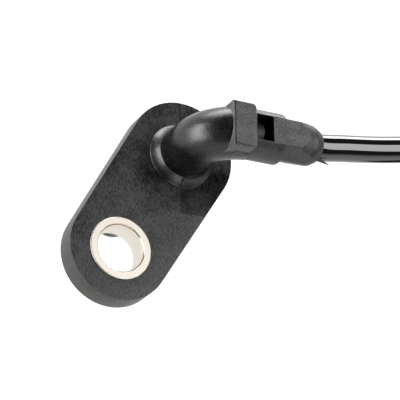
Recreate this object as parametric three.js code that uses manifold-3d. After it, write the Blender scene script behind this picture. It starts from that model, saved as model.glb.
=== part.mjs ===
// Wheel speed sensor for a car: a black overmoulded housing with a flange, a steel bushing for
// one bolt, a nose that points at the wheel's tone ring, and a cable that leaves at a right angle.
// Millimetres, +Z up. The origin is the centre of the sensing face at the tip of the nose, +Z runs
// up the nose towards the cable, and +X is the way the cable leaves the elbow.
import * as THREE from 'three';
import { mergeVertices } from 'three/addons/utils/BufferGeometryUtils.js';
import Module from 'manifold-3d';

const wasm = await Module();
wasm.setup();

// Driving dimensions of the flange and its bushing
const bolt_pitch = 21.95;
const bolt_bearing = -120.6;
const flange_thickness = 4.15;
const flange_bolt_radius = 9.0;
const flange_nose_radius = 9.55;
const flange_nose_shift = 0.6;
const bushing_outer_radius = 5.5;
const bushing_wall = 1.4;
const bushing_proud = 0.36;
const bushing_edge = 0.25;

// Driving dimensions of the nose and its seal
const nose_length = 25.8;
const nose_radius = 7.0;
const nose_stage_length = 13.0;
const nose_taper_length = 3.2;
const tip_radius = 4.2;
const tip_edge = 0.4;
const seal_section_radius = 0.85;
const seal_squeeze = 0.6;
const seal_depth_below_flange = 4.4;

// Driving dimensions of the neck, the elbow and the strain relief
const cable_height = 13.1;
const skirt_radius = 5.75;
const skirt_height = 1.5;
const elbow_radius = 4.5;
const elbow_bend = 7.15;
const collar_start = 1.9;
const collar_length = 4.35;
const collar_half_width = 4.15;
const collar_front = 3.5;
const collar_corner = 0.9;
const front_flat = 3.42;
const sleeve_radius = 4.3;
const sleeve_length = 11.5;
const grip_flat_half_width = 2.36;
const grip_half_width = 3.75;
const grip_taper_start = 14.3;
const grip_shoulder = 16.8;
const grip_shoulder_radius = 3.5;
const grip_length = 19.5;
const grip_mouth_radius = 2.9;
const window_start = 6.3;
const window_length = 3.15;
const window_depth = 6.0;

// Driving dimensions of the cable, its two cores and its coil
const cable_radius = 2.35;
const cable_bore_clearance = 0.35;
const core_radius = 0.65;
const core_spacing = 1.6;
const jacket_start = 10.2;
const core_sleeve_radius = 2.2;
const core_sleeve_wall = 0.5;
const core_sleeve_start = 5.2;
const core_sleeve_length = 3.1;
const coil_centre = [92, -17];
const coil_outer_radius = 27;
const coil_turns_across = 3;
const coil_layers = 2;
const tie_width = 3.6;
const tie_thickness = 0.8;
const tie_bearing = -150;

// Driving dimensions of the sensing insert inside the nose
const insert_radius = 2.7;
const insert_length = 15.3;
const insert_face = 0.8;
const insert_flat = 0.2;
const chip_size = [1.3, 4.0, 4.0];
const magnet_size = [1.4, 3.2, 3.2];
const lead_size = [0.35, 0.7, 6.6];
const lead_spacing = 2.54;
const capacitor_size = [0.8, 3.2, 2.0];
const splice_radius = 0.75;
const splice_length = 3.0;
const core_joining = 6.0;

// Driving dimensions of the plug at the far end
const plug_rear = [128.25, -8];
const plug_axis_height = 5.3;
const plug_width = 12.4;
const plug_height = 10.6;
const plug_corner = 1.6;
const plug_body_length = 14.0;
const plug_tongue_length = 14.0;
const plug_tongue_width = 9.4;
const plug_tongue_height = 7.0;
const plug_cap_length = 3.0;
const plug_boot_length = 7.0;
const plug_boot_radii = [3.3, 4.6];
const plug_pitch = 4.8;
const plug_cavity = 2.6;
const plug_face_wall = 1.6;
const plug_slot = [1.2, 1.8];
const latch_width = 5.0;
const latch_height = 2.6;
const latch_thickness = 1.1;
const wire_seal_radius = 1.7;
const wire_seal_length = 4.2;
const terminal_size = [2.0, 13.5, 2.0];
const face_seal_thickness = 1.1;
const face_seal_length = 2.0;

// Clearances between neighbours
const gap = 0.3;

// Levels and places that follow from the values above
const bushing_bore_radius = bushing_outer_radius - bushing_wall;
const seat = nose_length;
const front = seat + flange_thickness;
const axis = front + cable_height;
const bearing = THREE.MathUtils.degToRad(bolt_bearing);
const bolt_x = bolt_pitch * Math.cos(bearing);
const bolt_y = bolt_pitch * Math.sin(bearing);
const channel_radius = core_spacing / 2 + core_radius + gap;
const insert_bore = insert_radius + gap;
const cable_bore = cable_radius + cable_bore_clearance;
const seal_ring_radius = nose_radius - seal_section_radius + seal_squeeze;
const seal_level = seat - seal_depth_below_flange;

// One closed three.js geometry becomes a solid that can be joined and cut.
function solid(geometry) {
  const bare = geometry.index ? geometry.toNonIndexed() : geometry.clone();
  for (const name of Object.keys(bare.attributes)) {
    if (name !== 'position') bare.deleteAttribute(name);
  }
  const merged = mergeVertices(bare, 1e-5);
  return new wasm.Manifold(new wasm.Mesh({
    numProp: 3,
    vertProperties: new Float32Array(merged.attributes.position.array),
    triVerts: new Uint32Array(merged.index.array),
  }));
}

function geometryOf(manifold) {
  const mesh = manifold.getMesh();
  const geometry = new THREE.BufferGeometry();
  geometry.setAttribute('position', new THREE.BufferAttribute(new Float32Array(mesh.vertProperties), 3));
  geometry.setIndex(new THREE.BufferAttribute(new Uint32Array(mesh.triVerts), 1));
  geometry.computeVertexNormals();
  return geometry;
}

const joined = (...solids) => solids.reduce((whole, next) => whole.add(next));
const cut = (whole, ...tools) => tools.reduce((rest, tool) => rest.subtract(tool), whole);

// A box given by its low and high corners.
function block(low, high) {
  const size = high.map((value, i) => value - low[i]);
  const geometry = new THREE.BoxGeometry(...size);
  return geometry.translate(...low.map((value, i) => value + size[i] / 2));
}

// A profile of [radius, height] points turned about +Z.
function turned(profile, segments = 48) {
  const points = profile.map(([r, z]) => new THREE.Vector2(r, z));
  return new THREE.LatheGeometry(points, segments).rotateX(Math.PI / 2);
}

// The same about an axis along +X, through the middle of the cable.
function turnedAlongX(profile, segments = 40) {
  return turned(profile, segments).rotateY(Math.PI / 2).translate(0, 0, axis);
}

function cylinder(radius, low, high, segments = 40) {
  return turned([[0, low], [radius, low], [radius, high], [0, high]], segments);
}

// A flat outline extruded along +Z from low to high.
function slab(shape, low, high, segments = 12) {
  const depth = high - low;
  const geometry = new THREE.ExtrudeGeometry(shape, { depth, bevelEnabled: false, curveSegments: segments });
  return geometry.translate(0, 0, low);
}

function roundedRectangle(width, height, radius) {
  const shape = new THREE.Shape();
  const x = width / 2 - radius;
  const y = height / 2 - radius;
  shape.absarc(x, y, radius, 0, Math.PI / 2);
  shape.absarc(-x, y, radius, Math.PI / 2, Math.PI);
  shape.absarc(-x, -y, radius, Math.PI, 1.5 * Math.PI);
  shape.absarc(x, -y, radius, 1.5 * Math.PI, 2 * Math.PI);
  return shape;
}

function circle(radius, sides) {
  const corners = [];
  for (let i = 0; i < sides; i += 1) {
    const angle = (2 * Math.PI * i) / sides;
    corners.push(new THREE.Vector2(radius * Math.cos(angle), radius * Math.sin(angle)));
  }
  return new THREE.Shape(corners);
}

// A round section carried along a curve.
function swept(path, radius, steps, sides) {
  return new THREE.ExtrudeGeometry(circle(radius, sides), { steps, extrudePath: path, bevelEnabled: false });
}

// The line that the neck and the cable share: up the nose axis, round the bend, out along +X.
class ElbowLine extends THREE.Curve {
  constructor(bottom, end, side = 0, low_shift = 0) {
    super();
    this.bottom = bottom;
    this.end = end;
    this.side = side;
    this.low_shift = low_shift;
  }

  getPoint(t, target = new THREE.Vector3()) {
    const rise = axis - elbow_bend - this.bottom;
    const arc = (elbow_bend * Math.PI) / 2;
    const run = this.end - elbow_bend;
    const s = t * (rise + arc + run);
    if (s <= rise) {
      const ease = 0.5 + 0.5 * Math.cos(Math.PI * Math.min(1, s / Math.max(rise * 0.7, 1e-6)));
      return target.set(this.low_shift * ease, this.side, this.bottom + s);
    }
    if (s <= rise + arc) {
      const angle = (s - rise) / elbow_bend;
      const x = elbow_bend * (1 - Math.cos(angle));
      return target.set(x, this.side, axis - elbow_bend + elbow_bend * Math.sin(angle));
    }
    return target.set(elbow_bend + s - rise - arc, this.side, axis);
  }
}

// The flange's outline: the hull of a circle round the bolt and one near the nose axis.
function flangeOutline() {
  const back_x = -flange_nose_shift * Math.cos(bearing);
  const back_y = -flange_nose_shift * Math.sin(bearing);
  const distance = bolt_pitch + flange_nose_shift;
  const towards_nose = bearing + Math.PI;
  const tangent = Math.acos((flange_bolt_radius - flange_nose_radius) / distance);
  const shape = new THREE.Shape();
  shape.absarc(back_x, back_y, flange_nose_radius, towards_nose - tangent, towards_nose + tangent);
  shape.absarc(bolt_x, bolt_y, flange_bolt_radius, towards_nose + tangent, towards_nose - tangent + 2 * Math.PI);
  return shape;
}

function noseProfile() {
  const step = seat - nose_stage_length;
  const groove_half = seal_section_radius + gap;
  const groove_floor = seal_ring_radius - seal_section_radius - gap;
  return [
    [0, 0],
    [tip_radius - tip_edge, 0],
    [tip_radius, tip_edge],
    [tip_radius, step - nose_taper_length],
    [nose_radius, step],
    [nose_radius, seal_level - groove_half],
    [groove_floor, seal_level - groove_half],
    [groove_floor, seal_level + groove_half],
    [nose_radius, seal_level + groove_half],
    [nose_radius, seat + 1],
    [0, seat + 1],
  ];
}

// The flare where the neck stands on the flange.
function skirtProfile() {
  const steps = 5;
  const profile = [[0, front - 1], [skirt_radius, front - 1]];
  for (let i = 0; i <= steps; i += 1) {
    const angle = (Math.PI / 2) * (i / steps);
    const r = skirt_radius - (skirt_radius - elbow_radius) * Math.sin(angle);
    profile.push([r, front + skirt_height * (1 - Math.cos(angle))]);
  }
  profile.push([0, front + skirt_height]);
  return profile;
}

// The six-sided grip behind the sleeve, tapered to the cable by a turned nose.
function gripBody() {
  const outline = new THREE.Shape([
    new THREE.Vector2(grip_half_width, 0),
    new THREE.Vector2(grip_flat_half_width, front_flat),
    new THREE.Vector2(-grip_flat_half_width, front_flat),
    new THREE.Vector2(-grip_half_width, 0),
    new THREE.Vector2(-grip_flat_half_width, -front_flat),
    new THREE.Vector2(grip_flat_half_width, -front_flat),
  ]);
  const bar = slab(outline, sleeve_length - 1, grip_length)
    .rotateZ(Math.PI / 2).rotateY(Math.PI / 2).translate(0, 0, axis);
  const corner = Math.hypot(grip_flat_half_width, front_flat) + 0.02;
  const taper = turnedAlongX([
    [0, sleeve_length - 2],
    [corner, sleeve_length - 2],
    [corner, grip_taper_start],
    [grip_shoulder_radius, grip_shoulder],
    [grip_mouth_radius, grip_length],
    [0, grip_length],
  ]);
  return solid(bar).intersect(solid(taper));
}

function collar() {
  const end = collar_start + collar_length;
  const w = collar_half_width;
  const shape = new THREE.Shape();
  shape.moveTo(collar_start, -w);
  shape.absarc(end - collar_corner, -w + collar_corner, collar_corner, -Math.PI / 2, 0);
  shape.absarc(end - collar_corner, w - collar_corner, collar_corner, 0, Math.PI / 2);
  shape.lineTo(collar_start, w);
  shape.closePath();
  return slab(shape, axis, axis + collar_front, 5);
}

// The one-piece overmoulding: flange, nose, neck, elbow, collar, sleeve and grip.
function housing() {
  const flange = slab(flangeOutline(), seat, front, 36);
  const neck = swept(new ElbowLine(front - 1, sleeve_length), elbow_radius, 28, 40);
  const crest = block(
    [collar_start + collar_length, -elbow_radius - 1, axis + front_flat],
    [sleeve_length + 1, elbow_radius + 1, axis + elbow_radius + 1],
  );
  const waist = turnedAlongX([
    [sleeve_radius, collar_start + collar_length],
    [elbow_radius + 2, collar_start + collar_length],
    [elbow_radius + 2, sleeve_length + 1],
    [sleeve_radius, sleeve_length + 1],
    [sleeve_radius, collar_start + collar_length],
  ]);
  const limb = joined(cut(solid(neck), solid(crest), solid(waist)), solid(collar()), gripBody());
  const outside = joined(
    solid(flange), solid(turned(noseProfile())), solid(turned(skirtProfile(), 40)), limb,
  );
  const bushing_hole = cylinder(bushing_outer_radius + gap, seat - 1, front + 1).translate(bolt_x, bolt_y, 0);
  const insert_hole = cylinder(insert_bore, -1, core_foot + core_joining + gap, 32);
  const channel = swept(new ElbowLine(insert_length, jacket_start), channel_radius, 22, 20);
  const cable_hole = turnedAlongX([
    [0, jacket_start - gap],
    [cable_bore, jacket_start - gap],
    [cable_bore, grip_length + 1],
    [0, grip_length + 1],
  ]);
  const sleeve_hole = turnedAlongX([
    [0, core_sleeve_start - gap],
    [core_sleeve_radius + gap, core_sleeve_start - gap],
    [core_sleeve_radius + gap, window_start + gap],
    [0, window_start + gap],
  ]);
  const window = block(
    [window_start, -grip_flat_half_width, axis + front_flat - window_depth],
    [window_start + window_length, grip_flat_half_width, axis + elbow_radius],
  );
  return cut(
    outside, solid(bushing_hole), solid(insert_hole), solid(channel), solid(cable_hole),
    solid(sleeve_hole), solid(window),
  );
}

// The steel sleeve that takes the bolt's load, level with the seat and just proud in front.
function bushing() {
  const top = front + bushing_proud;
  const e = bushing_edge;
  return turned([
    [bushing_bore_radius + e, seat],
    [bushing_outer_radius - e, seat],
    [bushing_outer_radius, seat + e],
    [bushing_outer_radius, top - e / 2],
    [bushing_outer_radius - e / 2, top],
    [bushing_bore_radius + e, top],
    [bushing_bore_radius, top - e],
    [bushing_bore_radius, seat + e],
    [bushing_bore_radius + e, seat],
  ], 56).translate(bolt_x, bolt_y, 0);
}

// A ring of round section about +Z.
function ring(radius, section, level, segments, sides) {
  return new THREE.TorusGeometry(radius, section, sides, segments).translate(0, 0, level);
}

// The moulded stick that carries the chip; a face at its foot closes the nose.
function insert() {
  const stick = cylinder(insert_radius, 0, insert_length, 32);
  const flat = block([insert_flat, -insert_radius, insert_face], [insert_radius, insert_radius, insert_length + 1]);
  const z = insert_face + 2 * gap;
  const pocket = block(
    [insert_flat - magnet_size[0] - 2 * gap, -magnet_size[1] / 2 - gap, z],
    [insert_flat + 1, magnet_size[1] / 2 + gap, z + magnet_size[2] + 2 * gap],
  );
  return cut(solid(stick), solid(flat), solid(pocket));
}

// Heights of the parts that stand on the insert's flat, one after the other.
const chip_foot = insert_face + gap;
const lead_foot = chip_foot + chip_size[2] + gap;
const splice_foot = lead_foot + lead_size[2] + gap;
const core_foot = splice_foot + splice_length + gap;
const flat_x = insert_flat + gap;
const splice_x = flat_x + splice_radius;

function chip() {
  const [x, y, z] = chip_size;
  return block([flat_x, -y / 2, chip_foot], [flat_x + x, y / 2, chip_foot + z]);
}

function magnet() {
  const [x, y, z] = magnet_size;
  const low = insert_face + 3 * gap;
  return block([insert_flat - x - gap, -y / 2, low], [insert_flat - gap, y / 2, low + z]);
}

function lead(side) {
  const [x, y, z] = lead_size;
  const middle = (side * lead_spacing) / 2;
  return block([flat_x, middle - y / 2, lead_foot], [flat_x + x, middle + y / 2, lead_foot + z]);
}

function capacitor() {
  const [x, y, z] = capacitor_size;
  const near = flat_x + lead_size[0] + gap;
  return block([near, -y / 2, lead_foot + 2 * gap], [near + x, y / 2, lead_foot + 2 * gap + z]);
}

function splice(side) {
  return cylinder(splice_radius, splice_foot, splice_foot + splice_length, 14)
    .translate(splice_x, (side * lead_spacing) / 2, 0);
}

// A core runs from its splice, round the elbow, to the end of the jacket.
function core(side) {
  const apart = core_spacing / 2;
  const start = new THREE.Vector3(splice_x, (side * lead_spacing) / 2, core_foot);
  const joining = new THREE.Vector3(0, side * apart, core_foot + core_joining);
  const points = [];
  const steps = 4;
  for (let i = 0; i < steps; i += 1) {
    const t = i / steps;
    const ease = 0.5 - 0.5 * Math.cos(Math.PI * t);
    points.push(new THREE.Vector3().lerpVectors(start, joining, t).setX(start.x * (1 - ease))
      .setY(start.y + (joining.y - start.y) * ease));
  }
  const line = new ElbowLine(joining.z, jacket_start - gap, side * apart);
  for (let i = 0; i <= 14; i += 1) points.push(line.getPoint(i / 14));
  return swept(new THREE.CatmullRomCurve3(points), core_radius, 30, 8);
}

// A short sleeve holds the two cores together where the window in the mould shows them.
function coreSleeve() {
  const end = core_sleeve_start + core_sleeve_length;
  const bore = core_sleeve_radius - core_sleeve_wall;
  return turnedAlongX([
    [bore, core_sleeve_start],
    [core_sleeve_radius, core_sleeve_start],
    [core_sleeve_radius, end],
    [bore, end],
    [bore, core_sleeve_start],
  ], 32);
}

// The free cable. It leaves the grip along +X, bends a little towards +Y, sinks to the surface
// that the sensor stands on, and runs into the upper layer of its coil.
const cable_route = [
  [jacket_start, 0, axis],
  [15, 0, axis],
  [18, 0.02, axis],
  [20.5, 0.1, axis],
  [24, 0.68, axis],
  [28, 1.28, axis],
  [32, 1.95, axis],
  [37, 2.93, axis],
  [41.2, 3.82, axis - 0.44],
  [45.1, 4.72, axis - 1.73],
  [48.8, 5.56, axis - 3.82],
  [51.9, 6.25, axis - 6.62],
  [54.3, 6.78, axis - 10.0],
  [57.5, 7.43, axis - 15.43],
  [60.6, 8.0, axis - 20.87],
  [63.7, 8.52, axis - 26.3],
  [66.2, 8.88, axis - 29.68],
  [69.3, 9.28, axis - 32.48],
  [72.9, 9.64, axis - 34.57],
  [75.5, 9.83, axis - 35.5],
];

// The free cable leaves the coil's lower layer and turns to the plug.
const tail_route = [
  [108, 10, cable_radius],
  [110.25, 10, cable_radius],
  [114.9, 9.4, 2.6],
  [119.25, 7.6, 3.15],
  [123, 4.7, 3.9],
  [125.85, 1, 4.7],
  [127.65, -3.35, 5.2],
  [128.25, -8, plug_axis_height],
  [128.25, -10.6, plug_axis_height],
];

function freeCable(route, steps) {
  const curve = new THREE.CatmullRomCurve3(route.map((point) => new THREE.Vector3(...point)));
  return swept(curve, cable_radius, steps, 10);
}

const coil_low_radius = coil_outer_radius - coil_turns_across * 2 * cable_radius + cable_radius;
const coil_high_radius = coil_outer_radius + cable_radius;
const coil_height = coil_layers * 2 * cable_radius;
const tie_angle = THREE.MathUtils.degToRad(tie_bearing);

function atTie(geometry) {
  const middle = (coil_low_radius + coil_high_radius) / 2;
  return geometry.translate(middle, 0, 0).rotateZ(tie_angle).translate(coil_centre[0], coil_centre[1], 0);
}

// The coil's outer shape, with a notch below where the tie passes under the turns.
function coil() {
  const body = turned([
    [coil_low_radius, 0],
    [coil_high_radius, 0],
    [coil_high_radius, coil_height],
    [coil_low_radius, coil_height],
    [coil_low_radius, 0],
  ], 48).translate(coil_centre[0], coil_centre[1], 0);
  const across = coil_high_radius - coil_low_radius;
  const notch = atTie(block(
    [-across, -tie_width / 2 - gap, -1],
    [across, tie_width / 2 + gap, tie_thickness + gap],
  ));
  return cut(solid(body), solid(notch));
}

// A strap once round the bundle of turns.
function tie() {
  const across = coil_high_radius - coil_low_radius;
  const inner_half = across / 2 + 2 * gap;
  const outer_half = inner_half + tie_thickness;
  const inner_top = coil_height + gap;
  const outer = block([-outer_half, -tie_width / 2, 0], [outer_half, tie_width / 2, inner_top + tie_thickness]);
  const inner = block([-inner_half, -tie_width, tie_thickness], [inner_half, tie_width, inner_top]);
  return cut(solid(atTie(outer)), solid(atTie(inner)));
}

// The plug lies along -Y: s counts from its rear to its face.
function atPlug(geometry) {
  return geometry.rotateX(Math.PI / 2).translate(plug_rear[0], plug_rear[1], plug_axis_height);
}

const plug_cap_start = plug_boot_length;
const plug_body_start = plug_boot_length + plug_cap_length + gap;
const plug_tongue_start = plug_body_start + plug_body_length;
const plug_end = plug_tongue_start + plug_tongue_length;
const plug_jacket_depth = 2.7;
const plug_core_start = plug_jacket_depth + gap;
const wire_seal_start = plug_body_start + gap;
const wire_cavity_end = wire_seal_start + wire_seal_length + gap;
const terminal_start = wire_cavity_end + 2 * gap;

// The rear cap with its boot: the cable goes in, and the two cores spread inside it.
function plugCap() {
  const [thin, thick] = plug_boot_radii;
  const boot = turned([[0, 0], [thin, 0], [thick, plug_boot_length + 1], [0, plug_boot_length + 1]], 32);
  const plate = slab(roundedRectangle(plug_width, plug_height, plug_corner), plug_cap_start,
    plug_cap_start + plug_cap_length, 5);
  const bore = cylinder(cable_bore, -1, plug_jacket_depth + gap, 24);
  const spread = slab(roundedRectangle(plug_pitch + 2 * core_radius + 2 * gap, 2 * core_radius + 2 * gap, 0.6),
    plug_jacket_depth, plug_cap_start + plug_cap_length + 1, 3);
  return cut(joined(solid(atPlug(boot)), solid(atPlug(plate))), solid(atPlug(bore)), solid(atPlug(spread)));
}

// The plug's housing: a body, a tongue that goes into the mating half, and a latch on top.
function plugHousing() {
  const body = slab(roundedRectangle(plug_width, plug_height, plug_corner), plug_body_start,
    plug_tongue_start, 5);
  const tongue = slab(roundedRectangle(plug_tongue_width, plug_tongue_height, 1.0), plug_tongue_start - 1,
    plug_end, 4);
  const top = plug_height / 2;
  const latch = joined(
    solid(atPlug(block([-latch_width / 2, top - 0.5, plug_body_start + 2],
      [latch_width / 2, top + latch_height, plug_body_start + 5]))),
    solid(atPlug(block([-latch_width / 2, top + latch_height - latch_thickness, plug_body_start + 2],
      [latch_width / 2, top + latch_height, plug_tongue_start + 6]))),
    solid(atPlug(block([-latch_width / 2, top + latch_height - latch_thickness - 0.9, plug_tongue_start + 4.4],
      [latch_width / 2, top + latch_height, plug_tongue_start + 6]))),
  );
  const tools = [];
  for (const side of [-1, 1]) {
    const x = (side * plug_pitch) / 2;
    const half = plug_cavity / 2;
    tools.push(solid(atPlug(cylinder(wire_seal_radius + gap, plug_body_start - 1, wire_cavity_end, 20)
      .translate(x, 0, 0))));
    tools.push(solid(atPlug(block([x - half, -half, wire_cavity_end - 0.5],
      [x + half, half, plug_end - plug_face_wall]))));
    tools.push(solid(atPlug(block([x - plug_slot[0] / 2, -plug_slot[1] / 2, plug_end - plug_face_wall - 1],
      [x + plug_slot[0] / 2, plug_slot[1] / 2, plug_end + 1]))));
  }
  return cut(joined(solid(atPlug(body)), solid(atPlug(tongue)), latch), ...tools);
}

function faceSeal() {
  const t = face_seal_thickness;
  const low = plug_tongue_start + gap;
  const outer = slab(roundedRectangle(plug_tongue_width + 2 * (gap + t), plug_tongue_height + 2 * (gap + t), 1.6),
    low, low + face_seal_length, 5);
  const inner = slab(roundedRectangle(plug_tongue_width + 2 * gap, plug_tongue_height + 2 * gap, 1.2),
    low - 1, low + face_seal_length + 1, 5);
  return cut(solid(atPlug(outer)), solid(atPlug(inner)));
}

function wireSeal(side) {
  const inner = core_radius + gap;
  const low = wire_seal_start;
  const high = wire_seal_start + wire_seal_length;
  const waist = wire_seal_radius - 0.25;
  const middle = (low + high) / 2;
  return atPlug(turned([
    [inner, low], [wire_seal_radius, low], [wire_seal_radius, low + 0.9], [waist, low + 1.3],
    [waist, middle - 0.3], [wire_seal_radius, middle], [waist, middle + 0.3], [waist, high - 1.3],
    [wire_seal_radius, high - 0.9], [wire_seal_radius, high], [inner, high], [inner, low],
  ], 20).translate((side * plug_pitch) / 2, 0, 0));
}

function terminal(side) {
  const [x, length, z] = terminal_size;
  const middle = (side * plug_pitch) / 2;
  return atPlug(block([middle - x / 2, -z / 2, terminal_start], [middle + x / 2, z / 2, terminal_start + length]));
}

function plugCore(side) {
  const near = (side * core_spacing) / 2;
  const far = (side * plug_pitch) / 2;
  const spread = plug_cap_start + plug_cap_length;
  const points = [
    [near, plug_core_start], [near + (far - near) * 0.25, plug_core_start + (spread - plug_core_start) * 0.35],
    [near + (far - near) * 0.75, plug_core_start + (spread - plug_core_start) * 0.65],
    [far, spread], [far, wire_cavity_end], [far, terminal_start - gap],
  ].map(([x, s]) => new THREE.Vector3(x, 0, s));
  return atPlug(swept(new THREE.CatmullRomCurve3(points), core_radius, 14, 8));
}

// Materials, one for each real stuff
function stuff(color, roughness, metalness = 0) {
  return new THREE.MeshStandardMaterial({ color, roughness, metalness });
}
const glass_nylon = stuff(0x2b2b2c, 0.6);
const nickel_steel = stuff(0xc9c3b8, 0.25, 1);
const seal_rubber = stuff(0x1b1b1c, 0.75);
const insert_resin = stuff(0x33302c, 0.55);
const chip_epoxy = stuff(0x161616, 0.5);
const magnet_alloy = stuff(0x6b6b6e, 0.4, 1);
const tinned_copper = stuff(0xb9b4aa, 0.35, 1);
const capacitor_ceramic = stuff(0x7a6a4f, 0.6);
const core_blue = stuff(0x2c4c7c, 0.45);
const core_brown = stuff(0x5a3a22, 0.45);
const jacket = stuff(0x0d0d0e, 0.2);
const plug_resin = stuff(0x252526, 0.55);
const plug_seal = stuff(0x8c4a22, 0.6);
const strap = stuff(0x1e1e1f, 0.5);

const sensor = new THREE.Group();
function add(parent, name, shape, material) {
  const geometry = shape instanceof THREE.BufferGeometry ? shape : geometryOf(shape);
  const mesh = new THREE.Mesh(geometry, material);
  mesh.name = name;
  parent.add(mesh);
}

// The body of the sensor
const head = new THREE.Group();
add(head, 'housing', housing(), glass_nylon);
add(head, 'mounting_bushing', bushing(), nickel_steel);
add(head, 'nose_seal', ring(seal_ring_radius, seal_section_radius, seal_level, 40, 12), seal_rubber);
sensor.add(head);

// What the nose holds
const inside = new THREE.Group();
add(inside, 'sensing_insert', insert(), insert_resin);
add(inside, 'sensor_chip', chip(), chip_epoxy);
add(inside, 'bias_magnet', magnet(), magnet_alloy);
add(inside, 'filter_capacitor', capacitor(), capacitor_ceramic);
add(inside, 'core_sleeve', coreSleeve(), seal_rubber);
for (const [label, side, colour] of [['a', -1, core_blue], ['b', 1, core_brown]]) {
  add(inside, `chip_lead_${label}`, lead(side), tinned_copper);
  add(inside, `splice_${label}`, splice(side), tinned_copper);
  add(inside, `core_${label}`, core(side), colour);
}
sensor.add(inside);

// The cable and its coil
const cable = new THREE.Group();
add(cable, 'cable_lead', freeCable(cable_route, 30), jacket);
add(cable, 'cable_coil', coil(), jacket);
add(cable, 'cable_tail', freeCable(tail_route, 10), jacket);
add(cable, 'coil_tie', tie(), strap);
sensor.add(cable);

// The plug
const plug = new THREE.Group();
add(plug, 'plug_cap', plugCap(), plug_resin);
add(plug, 'plug_housing', plugHousing(), plug_resin);
add(plug, 'plug_face_seal', faceSeal(), plug_seal);
for (const [label, side, colour] of [['a', -1, core_blue], ['b', 1, core_brown]]) {
  add(plug, `plug_core_${label}`, plugCore(side), colour);
  add(plug, `wire_seal_${label}`, wireSeal(side), plug_seal);
  add(plug, `terminal_${label}`, terminal(side), tinned_copper);
}
sensor.add(plug);

export default sensor;
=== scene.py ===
# %% [markdown]
# A wheel speed sensor: a black moulded body with a steel bushing, a cable and a plug. The packed
# model is loaded first as a fixed frame. Everything made afterwards is in metres in that frame:
# the origin is the tip of the nose, +Z runs up the nose, and +X is the way the cable leaves.

# %% Load the frame
import math
import bmesh
import bpy
from mathutils import Matrix, Vector


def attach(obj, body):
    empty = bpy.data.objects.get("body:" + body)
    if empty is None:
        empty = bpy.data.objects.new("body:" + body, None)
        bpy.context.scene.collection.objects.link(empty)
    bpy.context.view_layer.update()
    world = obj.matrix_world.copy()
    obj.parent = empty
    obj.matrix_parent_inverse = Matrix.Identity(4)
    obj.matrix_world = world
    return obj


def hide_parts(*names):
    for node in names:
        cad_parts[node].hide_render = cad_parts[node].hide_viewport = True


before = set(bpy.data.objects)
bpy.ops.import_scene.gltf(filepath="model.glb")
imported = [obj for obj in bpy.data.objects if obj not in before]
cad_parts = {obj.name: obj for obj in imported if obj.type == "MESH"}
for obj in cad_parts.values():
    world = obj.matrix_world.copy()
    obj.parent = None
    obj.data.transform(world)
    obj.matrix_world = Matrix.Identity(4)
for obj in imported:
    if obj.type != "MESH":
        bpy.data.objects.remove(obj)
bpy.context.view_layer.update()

MM = 0.001

# %% [markdown]
# The sizes of the body are named once, in millimetres, so that each cell below can use them. The
# flange's front face is the level from which most heights are counted, because that is the face
# the eye reads first.

# %% Sizes of the body
SEAT = 25.8
FRONT = 29.95
AXIS = 43.05
BOLT = Vector((21.95 * math.cos(math.radians(-120.6)), 21.95 * math.sin(math.radians(-120.6)), 0))
BUSHING_OUTER = 5.5
BUSHING_BORE = 4.1
ELBOW_RADIUS = 4.5
ELBOW_BEND = 7.15
SKIRT_RADIUS = 5.75
FRONT_FLAT = 3.42
COLLAR_START = 1.9
COLLAR_END = 6.25
COLLAR_HALF = 4.15
COLLAR_FRONT = 3.5
SLEEVE_END = 12.0
SLEEVE_HALF = (4.38, 4.09)
SLEEVE_LOWER = 4.4
GRIP_END = 19.5
CABLE = 2.35
print("bolt at", round(BOLT.x, 2), round(BOLT.y, 2))

# %% [markdown]
# The camera stands where the photographer's stood: above the flange, looking down past the cable.
# Its place and its turn were measured from the flange's outline, the bushing and the elbow. The
# lens is long, so the picture is almost without perspective. It is made before the cable, because
# the unseen length of cable has to lie just outside its view.

# %% Camera
camera_data = bpy.data.cameras.new("camera")
camera_data.lens = 189.8
camera_data.sensor_width = 36
camera_data.clip_start = 0.02
camera_data.clip_end = 20
camera = bpy.data.objects.new("camera", camera_data)
right = Vector((0.8964, -0.0093, 0.4431))
up = Vector((-0.1646, 0.9214, 0.3521))
back = Vector((-0.4116, -0.3886, 0.8244))
turn = Matrix((right, up, back)).transposed().to_4x4()
camera.matrix_world = Matrix.Translation(Vector((-144.68, -147.61, 327.18)) * MM) @ turn
bpy.context.scene.collection.objects.link(camera)
bpy.context.scene.camera = camera
print("camera", tuple(round(v, 3) for v in camera.location))

# %% [markdown]
# Materials come next, as each piece takes one when it is made. One function turns the hex colour
# that a designer writes into Blender's linear numbers, and one adds a node with its settings and
# its links. Each pattern's scale follows from a real size: Object coordinates are in metres, so a
# noise of scale 1 / size has features about that size across.

# %% Colour and node helpers
def colour(hex_value):
    channels = [int(hex_value[i:i + 2], 16) / 255 for i in (1, 3, 5)]
    return tuple(c / 12.92 if c <= 0.04045 else ((c + 0.055) / 1.055) ** 2.4 for c in channels) + (1.0,)


def add_node(material, kind, settings=None, **links):
    node = material.node_tree.nodes.new(kind)
    for key, value in (settings or {}).items():
        if key in node.inputs and not hasattr(type(node), key):
            node.inputs[key].default_value = value
        else:
            setattr(node, key, value)
    for key, source in links.items():
        material.node_tree.links.new(source, node.inputs[key.replace("_", " ")])
    return node


def finish(name, hex_value, roughness, metallic=0.0, **sockets):
    material = bpy.data.materials.new(name)
    material.use_nodes = True
    shader = material.node_tree.nodes["Principled BSDF"]
    shader.inputs["Base Color"].default_value = colour(hex_value)
    shader.inputs["Roughness"].default_value = roughness
    shader.inputs["Metallic"].default_value = metallic
    for key, value in sockets.items():
        shader.inputs[key.replace("_", " ")].default_value = value
    return material, shader


print("finishes can be made")

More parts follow.
